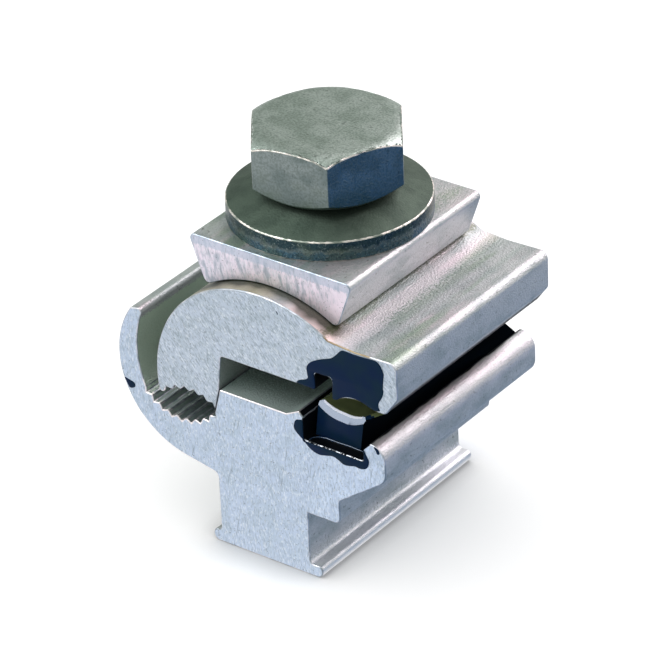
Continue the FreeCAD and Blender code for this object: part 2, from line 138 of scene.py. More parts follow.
def region(tree, place, wobble, soft, **ranges):
    """1 inside the ranges of the axes, with an edge so soft that a wobble from 0 to 1 shifts it."""
    spot = add_node(tree, "ShaderNodeSeparateXYZ", {"Vector": place})
    mask = None
    for axis, (low, high) in ranges.items():
        shifted = add_node(tree, "ShaderNodeMath", {0: wobble, 1: soft, 2: spot.outputs[axis]},
                           operation="MULTIPLY_ADD").outputs[0]
        above = add_node(tree, "ShaderNodeMapRange", {
            "Value": shifted, "From Min": low, "From Max": low + soft,
        })
        below = add_node(tree, "ShaderNodeMapRange", {
            "Value": shifted, "From Min": high + soft, "From Max": high,
        })
        for side in (above, below):
            mask = side.outputs[0] if mask is None else add_node(
                tree, "ShaderNodeMath", {0: mask, 1: side.outputs[0]}, operation="MULTIPLY").outputs[0]
    return mask


def surfaced(tree, shader, colour, reliefs, metallic, roughness):
    """The colour, the fine reliefs, each a height with its depth in millimetres, and the plain values."""
    tree.links.new(colour, shader.inputs["Base Color"])
    under = None
    for height, depth_mm in reliefs:
        bump = add_node(tree, "ShaderNodeBump", {"Height": height, "Distance": depth_mm * MM})
        if under is not None:
            tree.links.new(under, bump.inputs["Normal"])
        under = bump.outputs["Normal"]
    tree.links.new(under, shader.inputs["Normal"])
    shader.inputs["Metallic"].default_value = metallic
    shader.inputs["Roughness"].default_value = roughness


# Sawn aluminium gives the eye a pale blue-grey end face with short saw marks, specks and long fine scratches.
def sawn_aluminium(name, turn, pale, deep, grain, patchy):
    material, tree, shader, place = new_material(name)
    strokes = marks(tree, place, (9, 1, 2.6), turn, 0.47, 0.66, 3)
    bright = marks(tree, place, (8, 1, 3.2), turn, 0.52, 0.68, 3)
    specks = marks(tree, place, (5, 1, 5), 0, 0.64, 0.74, 2)
    mottled = marks(tree, place, (0.9, 1, 0.9), 0, 0.35, 0.68, 4)
    patches = marks(tree, place, (2.2, 1, 0.7), turn, 0.45, 0.66, 5)
    scratches = marks(tree, place, (5, 1, 0.4), turn - 0.3, 0.71, 0.76, 1)
    plate_top = PLATE_TOP / MM
    strip = region(tree, place, strokes, 0.15, Z=(plate_top - 0.9, TOP))
    # Painted light: the face is drawn paler toward its right, low down on the jaws and, on the plate, high
    # up.
    painted_light_side = region(tree, place, mottled, 6.0, X=(8, 20), Z=(-5, 15))
    painted_light_corner = region(tree, place, patches, 2.0, X=(6, 20), Z=(20, plate_top - 1.2))
    colour = layered(tree, pale, [
        (deep, mottled, 0.45), ("#DCEAFF", painted_light_side, 0.8), ("#8E9CA6", strokes, grain),
        ("#F0F5FC", bright, 0.5), ("#93A5B4", patches, patchy), ("#FBEFFB", painted_light_corner, patchy * 1.3),
        ("#BCC9DC", strip, patchy), ("#59656C", specks, 0.55), ("#7C8890", scratches, 0.4),
    ])
    surfaced(tree, shader, colour, [(strokes, 0.012)], 1.0, 0.5)
    return material


ALUMINIUM_METALLIC = 0.86
ALUMINIUM_ROUGHNESS = 0.43


# Extruded aluminium gives the eye a satin skin with long streaks from the die and a fine grain.
def extruded_aluminium(name, worn):
    material, tree, shader, place = new_material(name)
    streaks = marks(tree, place, (0.9, 0.04, 0.9), 0, 0.36, 0.66, 3)
    green = marks(tree, place, (0.4, 0.07, 0.4), 0, 0.5, 0.68, 3)
    rosy = marks(tree, place, (0.55, 0.09, 0.55), 0.4, 0.5, 0.66, 3)
    lines = marks(tree, place, (7, 0.1, 7), 0, 0.35, 0.72, 3)
    sand = marks(tree, place, (7, 5, 7), 0, 0.35, 0.7, 3)
    dull = marks(tree, place, (0.7, 0.35, 0.7), 0, 0.42, 0.7, 5)
    specks = marks(tree, place, (3.6, 2.8, 3.6), 0, 0.62, 0.74, 2)
    facing = add_node(tree, "ShaderNodeTexCoord").outputs["Normal"]
    rise = add_node(tree, "ShaderNodeSeparateXYZ", {"Vector": facing}).outputs["Z"]
    flat = add_node(tree, "ShaderNodeMapRange", {
        "Value": rise, "From Min": 0.3, "From Max": 0.9,
    }).outputs["Result"]
    wear, film = worn(tree, place, sand)
    colour = layered(tree, "#C6C8CB", [
        ("#B4BDBC", streaks, flat), ("#CDC5CA", rosy, flat), ("#97A897", green, flat), ("#97A2A4", dull, 0.6),
        ("#868D8E", sand, 0.34), ("#5F665F", specks, 0.65),
    ] + wear)
    reliefs = [(sand, 0.018), (lines, 0.005)]
    if film is None:
        surfaced(tree, shader, colour, reliefs, ALUMINIUM_METALLIC, ALUMINIUM_ROUGHNESS)
        return material
    clean = add_node(tree, "ShaderNodeMath", {0: 1.0, 1: film}, operation="SUBTRACT").outputs[0]
    reliefs = [
        (add_node(tree, "ShaderNodeMath", {0: height, 1: clean}, operation="MULTIPLY").outputs[0], depth_mm)
        for height, depth_mm in reliefs
    ]
    surfaced(tree, shader, colour, reliefs, ALUMINIUM_METALLIC, ALUMINIUM_ROUGHNESS)
    metal = add_node(tree, "ShaderNodeMath", {0: clean, 1: ALUMINIUM_METALLIC},
                     operation="MULTIPLY").outputs[0]
    shine = add_node(tree, "ShaderNodeMapRange", {"Value": film, "To Min": 0.5, "To Max": 0.12}).outputs[0]
    tree.links.new(metal, shader.inputs["Metallic"])
    tree.links.new(shine, shader.inputs["Specular IOR Level"])
    return material


def worn_plate(tree, place, sand):
    """A paler, pinker top to the right of the washer, and no grease."""
    pale = region(tree, place, sand, 2.0, X=(2, 16), Y=(-8, 12), Z=(PLATE_TOP / MM - 0.3, TOP))
    return [("#D3CED2", pale, 0.7)], None


def worn_lower(tree, place, sand):
    """Black grease wiped over the main groove up to the top of its lip, and darker, greener teeth. Painted
    light lies in the hook, at the slot's mouth, on the lip and on the foot's right side; painted shade deeper
    in the slot.
    """
    wiped = marks(tree, place, (0.7, 0.4, 0.7), 0, 0.3, 0.7, 2)
    film = region(tree, place, wiped, 0.15, X=(4.3, 12.1), Z=(13.2, 17.2))
    # Painted light: the hook and its foot are drawn paler and greener than the metal.
    hook = region(tree, place, sand, 0.4, X=(-13.7, -9.5), Z=(11, 20.5))
    hook_foot = region(tree, place, sand, 3.0, X=(-13.7, -9.5), Z=(9, 13.5))
    # Painted light at the slot's mouth, and painted shade from a little way into the slot.
    slot = region(tree, place, sand, 0.2, X=(-4.3, 4.6), Z=(15.5, 17.2))
    painted_slot_shade = region(tree, place, sand, 2.5, X=(-7, 4.6), Y=(-9.5, 14), Z=(14.5, 17.2))
    teeth = region(tree, place, sand, 0.5, X=(-12.4, -4.2), Z=(5, 14.2))
    # Painted highlights on the lip's top and on the foot's right side.
    lip = region(tree, place, sand, 0.7, X=(12.0, 14.0), Z=(14.2, 17.2))
    foot = region(tree, place, sand, 0.4, X=(4.2, 8), Z=(-1, 1.6))
    return [
        ("#D2E4D0", hook, 0.92), ("#F8FFF8", hook_foot, 0.85), ("#E4F4F0", slot, 0.95),
        ("#8FA39A", painted_slot_shade, 0.8), ("#93A5A3", teeth, 0.75), ("#EAE2EA", lip, 0.3), ("#EDEFF6", foot, 0.6),
        ("#04070C", film, 1.0),
    ], film


def worn_upper(tree, place, sand):
    """Black grease under the right lobe and in the notch, painted shade under and beside the plate, a warm
    painted reflection on the crown, and a painted highlight band to the right of the plate.
    """
    film = region(tree, place, sand, 0.3, X=(4.6, 14.4), Z=(17.0, 21.4))
    soft = marks(tree, place, (0.6, 0.6, 0.6), 0, 0.0, 1.0, 1)
    # Painted reflection: the crown is drawn warm and, toward the plate's right corner, rosy.
    crown = region(tree, place, soft, 3.0, X=(-14, 1.5), Y=(-14, -9), Z=(21.6, TOP))
    rosy = region(tree, place, soft, 1.5, X=(3.0, 8.2), Y=(-13, -9), Z=(23.0, TOP))
    # Painted shade: a dark band under the plate's front edge.
    under = region(tree, place, soft, 1.1, X=(-12, 8.2), Y=(-10.9, -9.0), Z=(24.2, TOP))
    # Painted highlight: a pale band in the valley to the right of the plate.
    bright = region(tree, place, sand, 0.6, X=(8.3, 9.7), Z=(24, TOP))
    streak = region(tree, place, sand, 1.2, X=(10.1, 10.9), Y=(-6, 6), Z=(24, TOP))
    # Painted shade: a dark line in the crease under the plate's lower right edge.
    beside = region(tree, place, sand, 0.45, X=(7.0, 7.55), Z=(22, TOP))
    notch = region(tree, place, sand, 0.4, X=(-4.4, 6.2), Z=(16.0, 21.6))
    arch = region(tree, place, sand, 0.2, X=(8.5, 12.4), Z=(17, 20.6))
    return [
        ("#A59D80", crown, 0.8), ("#E9CFC8", rosy, 0.75), ("#2F3424", under, 0.9), ("#EADFE4", bright, 0.45),
        ("#738A74", streak, 0.8), ("#4C5238", beside, 0.75), ("#A3B0A6", notch, 0.6), ("#04070C", film, 1.0),
        ("#3B3C20", arch, 1.0),
    ], film


# Burnished edges give the eye the bright, slightly broken line that the saw left along each end face. Grease
# covers the ranges (left, right, low, high), and blackens the line under the bead to dots.
def burnished_edge(name, colour, dull, greased=()):
    material, tree, shader, place = new_material(name)
    broken = marks(tree, place, (1.1, 1.1, 1.1), 0, 0.36, 0.64, 4)
    dots = marks(tree, place, (5, 5, 5), 0, 0.56, 0.44, 2)
    films = [region(tree, place, broken, 0.1, X=(left, right), Z=(low, high))
             for left, right, low, high in greased]
    teeth = region(tree, place, broken, 0.2, X=(-13, -5.0), Y=AT_FACE, Z=(6, 14.2))
    step = region(tree, place, broken, 0.2, X=(-4.2, 4.6), Y=AT_FACE, Z=(15.6, 17))
    arch = region(tree, place, broken, 0.2, X=(8.6, 12.8), Z=(18.6, 20.6))
    stained = region(tree, place, broken, 0.4, X=(7.6, 12.2), Y=AT_FACE, Z=(23.4, 26))
    layers = [
        (dull, broken, 1.0), ("#F8F0F2", teeth, 0.8), ("#F8F0F2", step, 0.8), ("#5B5B40", arch, 1.0),
        ("#8A7857", stained, 0.9),
    ] + [("#05080D", film, 1.0) for film in films]
    clean = None
    if greased:
        line = region(tree, place, broken, 0.1, X=(5.3, 10.9), Z=(13.6, 14.0))
        dotted = add_node(tree, "ShaderNodeMath", {0: line, 1: dots}, operation="MULTIPLY").outputs[0]
        layers.append(("#0B0F12", dotted, 1.0))
        clean = add_node(tree, "ShaderNodeMath", {0: 1.0, 1: dotted}, operation="SUBTRACT").outputs[0]
    for film in films:
        clean = add_node(tree, "ShaderNodeMath", {0: clean, 1: film},
                         operation="SUBTRACT", use_clamp=True).outputs[0]
    surfaced(tree, shader, layered(tree, colour, layers), [(broken, 0.01)], 1.0, 0.46)
    if clean is not None:
        shine = add_node(tree, "ShaderNodeMapRange", {
            "Value": clean, "To Min": 0.04, "To Max": 0.5,
        }).outputs[0]
        tree.links.new(clean, shader.inputs["Metallic"])
        tree.links.new(shine, shader.inputs["Specular IOR Level"])
    return material


# Forged steel gives the eye a dull grey-green skin with fine pits, darker and greener toward its foot.
def forged_steel(name, pale, deep, rough, foot_darkening):
    material, tree, shader, place = new_material(name)
    clouds = marks(tree, place, (0.5, 0.5, 0.5), 0, 0.35, 0.66, 4)
    grain = marks(tree, place, (5, 5, 5), 0, 0.36, 0.66, 3)
    pits = marks(tree, place, (2.3, 2.3, 2.3), 0, 0.65, 0.74, 2)
    low = region(tree, place, clouds, 2.4, Z=(30, HEAD_SEAT / MM + 1.0))
    colour = layered(tree, pale, [
        (deep, clouds, 0.8), ("#55645A", low, foot_darkening), ("#525E56", grain, 0.4), ("#39433E", pits, 0.4),
    ])
    surfaced(tree, shader, colour, [(grain, 0.009)], 1.0, rough)
    return material


# A punched steel rim gives the eye a dark band above a ragged one with blue and olive grains. The blue is a
# painted reflection.
def punched_rim(name):
    material, tree, shader, place = new_material(name)
    band_foot = 30.75
    ragged = marks(tree, place, (1.4, 1.4, 1.4), 0, 0.3, 0.7, 4)
    torn = region(tree, place, ragged, 0.45, Z=(0, band_foot))
    line = region(tree, place, ragged, 0.35, Z=(band_foot - 0.15, band_foot + 0.05))
    grain = marks(tree, place, (5, 5, 5), 0, 0.4, 0.66, 3)
    sparks = marks(tree, place, (6, 6, 6), 0, 0.6, 0.68, 2)
    clouds = marks(tree, place, (0.5, 0.5, 0.5), 0, 0.4, 0.6, 3)
    colour = layered(tree, "#33474C", [
        ("#4F6F84", torn, 0.6), ("#56634F", clouds, 0.5), ("#22303A", grain, 0.6), ("#A9B4B0", sparks, 0.3),
        ("#B9BDB0", line, 0.2),
    ])
    rough = add_node(tree, "ShaderNodeMath", {0: grain, 1: torn}, operation="MULTIPLY").outputs[0]
    surfaced(tree, shader, colour, [(grain, 0.008), (rough, 0.025)], 1.0, 0.36)
    return material


# Contact grease gives the eye a wet, nearly black blue with sharp lights. On the bead its upward faces are
# drawn olive, its crest is drawn pale as a painted highlight, and further back it is matt black as painted
# shade.
def contact_grease(name, deep, cloudy, shine, rough):
    material, tree, shader, place = new_material(name)
    clouds = marks(tree, place, (0.35, 0.35, 0.35), 0, 0.35, 0.65, 2)
    surfaced(tree, shader, layered(tree, deep, [(cloudy, clouds, 0.8)]), [(clouds, 0.006)], 0.0, rough)
    shader.inputs["Specular IOR Level"].default_value = shine
    shader.inputs["Specular Tint"].default_value = linear("#DCE9FF")
    return material


SAWN_LOWER = sawn_aluminium("sawn_aluminium_lower", math.radians(4), "#C7D5EA", "#B4C4D2", 0.35, 0.0)
SAWN_UPPER = sawn_aluminium("sawn_aluminium_upper", math.radians(38), "#C5D0DF", "#B2BFC9", 0.62, 0.0)
SAWN_PLATE = sawn_aluminium("sawn_aluminium_plate", math.radians(10), "#F6EBF8", "#DCDCE8", 0.3, 0.6)
EXTRUDED_PLATE = extruded_aluminium("extruded_aluminium_plate", worn_plate)
EXTRUDED_LOWER = extruded_aluminium("extruded_aluminium_lower", worn_lower)
EXTRUDED_UPPER = extruded_aluminium("extruded_aluminium_upper", worn_upper)
EDGE_PLATE = burnished_edge("burnished_edge_plate", "#C9D2E0", "#A3AEBC")
EDGE_LOWER = burnished_edge("burnished_edge_lower", "#D2D4DC", "#A0A9B2",
                            [(4.5, 5.3, 14.0, 16.2), (10.9, 11.9, 14.2, 16.2)])
EDGE_UPPER = burnished_edge("burnished_edge_upper", "#D2D4DC", "#A0A9B2", [(4.3, 8.6, 18.0, 21.7)])
STEEL = forged_steel("forged_steel", "#AEB9B4", "#8F9D95", 0.42, 0.3)
# Painted shade: the head's flats and underside take this darker, smoother copy of the head's steel.
STEEL_FLAT_SHADED = forged_steel("forged_steel_flat_shaded", "#8C9696", "#697676", 0.3, 0.75)
STEEL_EDGE = burnished_edge("worn_steel_edge", "#E6DFDA", "#868E86")
THREAD_STEEL = forged_steel("rolled_thread_steel", "#A3A8A6", "#7E8683", 0.3, 0.0)
DARK_STEEL = forged_steel("dark_spring_steel", "#57655B", "#45524A", 0.62, 0.0)
RIM = punched_rim("punched_spring_steel_rim")
BEAD_GREASE = contact_grease("contact_grease", "#0C2240", "#0C2230", 1.0, 0.06)
# A painted highlight: the pale copy of the grease for the bead's crest.
HIGHLIGHT_GREASE = contact_grease("contact_grease_painted_highlight", "#A39A97", "#8F8C88", 1.0, 0.06)
# Olive grease for the bead's upward faces.
OLIVE_TOP_GREASE = contact_grease("contact_grease_olive_top", "#66704A", "#4A5438", 0.6, 0.15)
# Painted shade: matt black grease with no gloss, for the bead further back in the groove and on its sides.
SHADED_GREASE = contact_grease("contact_grease_painted_shade", "#03070E", "#05080B", 0.0, 0.5)
SMEAR_GREASE = contact_grease("contact_grease_smear", "#0B1E3A", "#0F2533", 0.06, 0.25)


def finished(piece, name):
    """Makes the object with its modifiers into a plain mesh at the origin."""
    bpy.context.view_layer.update()
    baked = bpy.data.meshes.new_from_object(piece.evaluated_get(bpy.context.evaluated_depsgraph_get()))
    baked.name = name
    old = piece.data
    piece.modifiers.clear()
    piece.data = baked
    bpy.data.meshes.remove(old)


def new_piece(name, vertices, faces, materials):
    mesh = bpy.data.meshes.new(name)
    mesh.from_pydata(vertices, [], faces)
    for material in materials:
        mesh.materials.append(material)
    for polygon in mesh.polygons:
        polygon.use_smooth = True
    piece = bpy.data.objects.new(name, mesh)
    bpy.context.scene.collection.objects.link(piece)
    return piece


def dressed(node, name, body, materials, edge_mm, is_end, is_edge=None):
    """A merged copy of a CAD node with broken edges, which stands for that node.

    The materials are that of the sides, of the faces that is_end picks, and of the edges. On washer and bolt
    the upright edges take the second, and so do those under the head. The bolt's shank shrinks to the core of
    its thread.
    """
    edge_slot = len(materials) - 1
    bm = bmesh.new()
    bm.from_mesh(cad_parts[node].data)
    bmesh.ops.remove_doubles(bm, verts=bm.verts, dist=MERGE)
    bmesh.ops.dissolve_limit(bm, angle_limit=math.radians(0.5), verts=bm.verts, edges=bm.edges)
    if node == "clamp_bolt":
        play = 0.01 * MM
        for v in bm.verts:
            if v.co.xy.length < SHANK_RADIUS + play and v.co.z < HEAD_SEAT + play:
                v.co.xy *= CORE_RADIUS / SHANK_RADIUS
    places = [v.co.copy() for v in bm.verts]
    faces = [[v.index for v in f.verts] for f in bm.faces]
    bm.free()
    piece = new_piece(name, places, faces, materials)
    for polygon in piece.data.polygons:
        if is_end(polygon):
            polygon.material_index = 1
        if is_edge and is_edge(polygon):
            polygon.material_index = edge_slot
    bevel = piece.modifiers.new("edges", "BEVEL")
    bevel.width = edge_mm * MM
    bevel.segments = 2
    bevel.limit_method = "ANGLE"
    bevel.angle_limit = math.radians(28)
    bevel.material = edge_slot
    bevel.harden_normals = True
    bevel.use_clamp_overlap = False
    finished(piece, name)
    if is_edge is not None or node == "clamp_bolt":
        for polygon in piece.data.polygons:
            under_head = node == "clamp_bolt" and polygon.center.z < HEAD_SEAT + LOWER_HEAD
            if polygon.material_index == edge_slot and (is_end(polygon) or under_head):
                polygon.material_index = 1
    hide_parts(node)
    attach(piece, body)


def faces_end(polygon):
    """A sawn end, at the front or the rear."""
    return abs(polygon.normal.y) > 0.95


def faces_out(polygon):
    """A flat of the bolt's head, or the washer's rim."""
    return abs(polygon.normal.z) < 0.2


def rolled_rim(polygon):
    """The rounded upper edge of the washer."""
    return 0.2 <= polygon.normal.z < 0.9


dressed("lower_jaw", "lower_jaw_bar", "lower",
        [EXTRUDED_LOWER, SAWN_LOWER, EDGE_LOWER], 0.11, faces_end)
dressed("upper_jaw", "upper_jaw_bar", "jaw",
        [EXTRUDED_UPPER, SAWN_UPPER, EDGE_UPPER], 0.11, faces_end)
dressed("pressure_plate", "plate_bar", "saddle",
        [EXTRUDED_PLATE, SAWN_PLATE, EDGE_PLATE], 0.1, faces_end)
dressed("spring_washer", "washer_disc", "saddle",
        [DARK_STEEL, RIM, STEEL_EDGE], 0.08, faces_out, rolled_rim)
dressed("clamp_bolt", "bolt_body", "bolt",
        [STEEL, STEEL_FLAT_SHADED, STEEL_EDGE], 0.1, faces_out)


def grease_bead():
    """The bead laid along the main groove: hollow along its top, with a lip in front and a spread far end."""
    across, along, lip = 28, 60, 4
    low, high = BEAD_LOW, BEAD_HIGH
    middle = (low.x + high.x) / 2
    half = (high.x - low.x) / 2
    # The front end bulges, the top is hollow, and the right side leans down and is pinched in front. From
    # far_start on, the bead spreads and sags to the right.
    bulge = hollow = end_fall = 0.5 * MM
    lip_depth, lip_slope = 1.12 * MM, 1.1
    lean, pinch, pinch_reach = 0.4 * MM, 1.1 * MM, 2.5 * MM
    far_start, far_reach, far_spread, far_sag = 2 * MM, 6 * MM, 1.2 * MM, 1.1 * MM
    shoulder, shoulder_drop = 0.86, 0.3 * MM
    rows = []
    for j in range(along + 1):
        row = []
        for i in range(across + 1):
            u = -1 + 2 * i / across  # from the left side to the right
            front = low.y + bulge * u * u
            sink = lean * max(0, u)
            rounded = shoulder_drop * max(0, abs(u) - shoulder) / (1 - shoulder)
            crest = high.z - sink - hollow * (1 - u * u) - rounded
            meet = max(front + 0.02 * MM, low.y + (crest + sink - high.z + lip_depth) / lip_slope)
            if j <= lip:
                y = front + (meet - front) * j / lip
            else:
                y = meet + (high.y - meet) * (1 - math.cos(math.pi * (j - lip) / (along - lip))) / 2
            slope = high.z - sink - lip_depth + lip_slope * (y - low.y)
            narrow = pinch * max(0, 1 - (y - low.y) / pinch_reach) * max(0, u - 0.2) / 0.8
            far = min(1.0, max(0.0, (y - far_start) / far_reach))
            spread = far_spread * far * max(0, u - 0.4) / 0.6
            sag = far_sag * far * max(0, u - 0.6) / 0.4
            fall = 1.1 * max(0, end_fall - (high.y - y))
            x = middle + half * u * 0.985 + spread - narrow
            row.append(Vector((x, y, min(crest - sag - fall, slope))))
        rows.append(row)
    vertices = [v for row in rows for v in row]
    width = across + 1
    count = len(vertices)
    for j, row in enumerate(rows):
        vertices += [Vector((min(v.x, high.x), low.y if j == 0 else v.y, low.z)) for v in row]
    faces = []
    for j in range(along):
        for i in range(across):
            a = j * width + i
            faces.append((a, a + 1, a + width + 1, a + width))
            faces.append((count + a, count + a + width, count + a + width + 1, count + a + 1))
    rim = list(range(width))
    rim += [j * width + across for j in range(1, along + 1)]
    rim += [along * width + i for i in range(across - 1, -1, -1)]
    rim += [j * width for j in range(along - 1, 0, -1)]
    for k, a in enumerate(rim):
        b = rim[(k + 1) % len(rim)]
        faces.append((b, a, count + a, count + b))
    greases = [BEAD_GREASE, SMEAR_GREASE, OLIVE_TOP_GREASE, SHADED_GREASE, HIGHLIGHT_GREASE]
    piece = new_piece("grease_bead", vertices, faces, greases)
    # The faces along the crest of the bead's front lip take the painted highlight.
    highlight_faces = range(2 * across * (lip - 1) + 4, 2 * across * lip - 6, 2)
    for polygon in piece.data.polygons:
        if polygon.index in highlight_faces:
            grease = HIGHLIGHT_GREASE
        # Painted shade: faces further back in the groove, and the bead's sides, take the matt black grease.
        elif polygon.center.y > low.y + 3 * MM or abs(polygon.normal.x) > 0.8:
            grease = SHADED_GREASE
        elif abs(polygon.normal.z) < 0.3:
            grease = SMEAR_GREASE
        elif abs(polygon.normal.z) > 0.8:
            grease = OLIVE_TOP_GREASE
        else:
            grease = BEAD_GREASE
        polygon.material_index = greases.index(grease)
    bm = bmesh.new()
    bm.from_mesh(piece.data)
    bmesh.ops.remove_doubles(bm, verts=bm.verts, dist=MERGE)
    bmesh.ops.recalc_face_normals(bm, faces=bm.faces)
    bm.to_mesh(piece.data)
    bm.free()
    piece.data.set_sharp_from_angle(angle=math.radians(25))
    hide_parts("contact_grease")
    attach(piece, "lower")


def rounded_way(corners, steps):
    """A closed curve through the corners, drawn in short steps."""
    way = []
    count = len(corners)
    for k in range(count):
        a, b, c, d = [Vector(corners[(k + i) % count]) for i in (-1, 0, 1, 2)]
        for step in range(steps):
            t = step / steps
            way.append(0.5 * (2 * b + (c - a) * t + (2 * a - 5 * b + 4 * c - d) * t ** 2
                              + (3 * b - 3 * c + d - a) * t ** 3))
    return way


def smear(name, body, corners, thick_mm, rim_mm):
    """A thin coat of grease on the sawn face, thick in the middle and rounded off along its outline."""
    outline = rounded_way(corners, 4)
    area = sum(p.x * q.y - q.x * p.y for p, q in zip(outline, outline[1:] + outline[:1]))
    if area < 0:
        outline.reverse()
    count = len(outline)
    normals = []
    for k in range(count):
        chord = outline[(k + 1) % count] - outline[k - 1]
        normals.append(Vector((-chord.y, chord.x)).normalized())
    rings = []
    for lift in (0.0, 0.45, 0.8, 1.0):
        inset = rim_mm * (1 - math.sqrt(1 - lift ** 2))
        rings.append([(p + n * inset, lift * thick_mm) for p, n in zip(outline, normals)])
    foot = SAWN_FACE + 0.01 * MM
    vertices = [(p.x * MM, foot - lift * MM, p.y * MM) for ring in rings for p, lift in ring]
    faces = []
    for r in range(len(rings) - 1):
        for k in range(count):
            a, b = r * count + k, r * count + (k + 1) % count
            faces.append((a, b, b + count, a + count))
    top = (len(rings) - 1) * count
    for first, flip in ((top, False), (0, True)):
        flat = [Vector((vertices[first + k][0], vertices[first + k][2], 0)) for k in range(count)]
        for tri in geometry.tessellate_polygon([flat]):
            tri = [first + t for t in tri]
            faces.append(tri[::-1] if flip else tri)
    piece = new_piece(name, vertices, faces, [SMEAR_GREASE])
    bm = bmesh.new()
    bm.from_mesh(piece.data)
    bmesh.ops.recalc_face_normals(bm, faces=bm.faces)
    bm.to_mesh(piece.data)
    bm.free()
    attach(piece, body)


def grease_string(name, body, way, radius_mm):
    """A thin string of grease that runs along a way, mainly from left to right."""
    around = 8
    vertices = []
    for k, point in enumerate(way):
        radius = radius_mm * min(1.0, 0.3 + k / 2, 0.3 + (len(way) - 1 - k) / 2)
        for i in range(around):
            turn = 2 * math.pi * i / around
            vertices.append((Vector(point) + radius * Vector((0, math.cos(turn), math.sin(turn)))) * MM)
    faces = [tuple(range(around - 1, -1, -1)), tuple(range(len(vertices) - around, len(vertices)))]
    for k in range(len(way) - 1):
        for i in range(around):
            a, b = k * around + i, k * around + (i + 1) % around
            faces.append((a, b, b + around, a + around))
    piece = new_piece(name, vertices, faces, [BEAD_GREASE])
    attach(piece, body)


def bolt_thread():
    """The thread: a three-cornered ridge that climbs the core by one pitch on each turn."""
    tree = bpy.data.node_groups.new("thread_ridge", "GeometryNodeTree")
    sizes = {
        "Pitch": PITCH, "Crest radius": SHANK_RADIUS - 0.02 * MM, "Ridge": RIDGE_RADIUS,
        "Foot": BOLT_END + THREAD_START, "Length": HEAD_SEAT - BOLT_END - PLAIN_SHANK,
    }
    tree.interface.new_socket("Geometry", in_out="INPUT", socket_type="NodeSocketGeometry")
    keys = {name: tree.interface.new_socket(name, in_out="INPUT", socket_type="NodeSocketFloat").identifier
            for name in sizes}
    tree.interface.new_socket("Geometry", in_out="OUTPUT", socket_type="NodeSocketGeometry")
    given = add_node(tree, "NodeGroupInput").outputs
    turns = add_node(tree, "ShaderNodeMath", {0: given["Length"], 1: given["Pitch"]}, operation="DIVIDE")
    way_radius = add_node(tree, "ShaderNodeMath", {0: given["Crest radius"], 1: given["Ridge"]},
                          operation="SUBTRACT")
    way = add_node(tree, "GeometryNodeCurveSpiral", {
        "Resolution": 40, "Rotations": turns.outputs[0], "Start Radius": way_radius.outputs[0],
        "End Radius": way_radius.outputs[0], "Height": given["Length"], "Reverse": True,
    })
    upright = add_node(tree, "GeometryNodeSetCurveNormal", {"Curve": way.outputs[0]}, mode="Z_UP")
    corner = add_node(tree, "GeometryNodeCurvePrimitiveCircle", {"Resolution": 3, "Radius": given["Ridge"]})
    ridge = add_node(tree, "GeometryNodeCurveToMesh", {
        "Curve": upright.outputs[0], "Profile Curve": corner.outputs[0], "Fill Caps": True,
    })
    foot = add_node(tree, "ShaderNodeCombineXYZ", {"Z": given["Foot"]})
    placed = add_node(tree, "GeometryNodeTransform", {
        "Geometry": ridge.outputs[0], "Translation": foot.outputs[0],
    })
    real = add_node(tree, "GeometryNodeRealizeInstances", {"Geometry": placed.outputs[0]})
    coated = add_node(tree, "GeometryNodeSetMaterial", {
        "Geometry": real.outputs[0], "Material": THREAD_STEEL,
    })
    add_node(tree, "NodeGroupOutput", {"Geometry": coated.outputs[0]})
    piece = new_piece("bolt_thread", [(0, 0, 0)], [], [])
    modifier = piece.modifiers.new("thread", "NODES")
    modifier.node_group = tree
    for name, value in sizes.items():
        modifier[keys[name]] = value
    finished(piece, "bolt_thread")
    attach(piece, "bolt")


# Outlines on the sawn face, in millimetres across and up, and the way of the string at the bead's foot.
UPPER_SMEAR = [
    (5.5, 21.4), (5.6, 21.75), (5.95, 22.15), (6.5, 22.5), (7.2, 22.85), (8.15, 23.25), (8.7, 23.75),
    (9.2, 24.3), (9.6, 24.45), (10.5, 24.42), (11.5, 24.44), (12.3, 24.5), (12.85, 24.5), (13.25, 24.3),
    (13.5, 23.9), (13.68, 23.4), (13.6, 22.7), (13.55, 22.0), (13.58, 21.6), (13.4, 21.0), (13.08, 20.45),
    (13.0, 20.0), (13.15, 19.65), (12.65, 19.5), (12.1, 19.62), (11.4, 19.86), (10.6, 19.98), (9.8, 19.9),
    (9.1, 19.6), (8.6, 19.25), (8.2, 19.25), (8.17, 19.8), (8.17, 21.2), (7.3, 21.28), (6.35, 21.2),
    (6.33, 20.4), (6.3, 19.6), (5.6, 19.56), (4.9, 19.56), (4.42, 19.6), (4.45, 19.8), (4.8, 20.02),
    (5.35, 20.25), (5.6, 20.5), (5.55, 20.85),
]
LOWER_SMEAR = [
    (4.8, 15.9), (4.5, 15.88), (4.1, 15.75), (3.88, 15.35), (3.84, 14.85), (4.1, 14.5), (4.45, 14.2),
    (4.85, 13.9), (5.25, 13.5), (5.8, 13.15), (6.5, 13.0), (7.2, 13.15), (7.95, 13.32), (8.5, 13.15),
    (9.1, 12.88), (9.7, 12.95), (10.3, 13.1), (10.8, 13.05), (11.35, 13.2), (11.68, 13.55), (11.78, 14.15),
    (11.5, 14.7), (11.28, 15.05), (11.24, 14.5), (11.2, 14.1), (10.9, 13.88), (9.0, 13.88), (7.0, 13.88),
    (5.2, 13.88), (4.85, 14.15), (4.8, 15.0),
]
HOOK_MARK = [
    (-14.94, 13.84), (-14.51, 13.78), (-13.98, 13.65), (-13.76, 13.42), (-13.87, 13.09), (-14.41, 12.92),
    (-14.73, 13.41),
]
LIP_DRIP = [(12.35, 15.76), (12.68, 15.72), (12.9, 15.5), (12.92, 15.22), (12.7, 15.15), (12.55, 15.45)]
